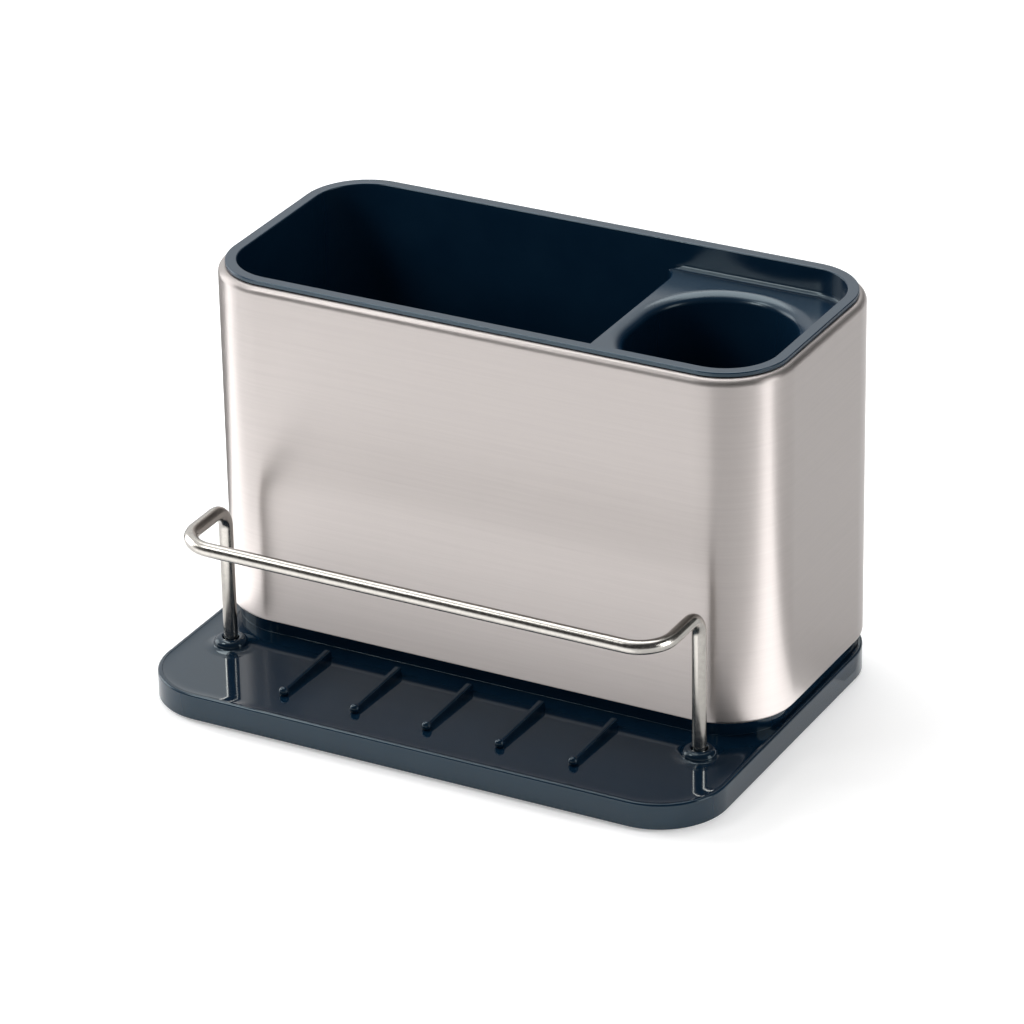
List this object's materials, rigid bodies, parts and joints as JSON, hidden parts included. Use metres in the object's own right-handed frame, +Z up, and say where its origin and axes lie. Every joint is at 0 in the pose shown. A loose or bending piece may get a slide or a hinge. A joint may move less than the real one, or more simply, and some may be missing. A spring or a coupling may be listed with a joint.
{
  "type": "sink organizer",
  "caption": "Brushed steel sink caddy with a lift-out divided liner for brushes and cloths, on a ribbed drip tray with a wire rail for a sponge",
  "frame": {"origin": "on the surface that the feet stand on, under the middle of the tray", "axes": "+X along the width, to the right seen from the front, +Y from the rail and the drip tray in front to the back, +Z up"},
  "size_m": [0.2, 0.1408, 0.1338],
  "materials": {
    "tray_plastic": "gloss",
    "rail_wire": "satin",
    "sleeve_steel": "brushed",
    "liner_plastic": "gloss",
    "foot_rubber": "matte"
  },
  "bodies": {
    "base": {"base_tray": "tray_plastic", "rail": "rail_wire", "foot_front_left": "foot_rubber", "foot_front_right": "foot_rubber", "foot_back_left": "foot_rubber", "foot_back_right": "foot_rubber"},
    "sleeve": {"steel_sleeve": "sleeve_steel"},
    "liner": {"liner": "liner_plastic"}
  },
  "joints": [
    {"name": "sleeve_lift", "type": "slide", "parent": "base", "child": "sleeve", "axis": [0, 0, 1], "range_m": [0, 0.03]},
    {"name": "liner_lift", "type": "slide", "parent": "sleeve", "child": "liner", "axis": [0, 0, 1], "range_m": [0, 0.12]}
  ]
}
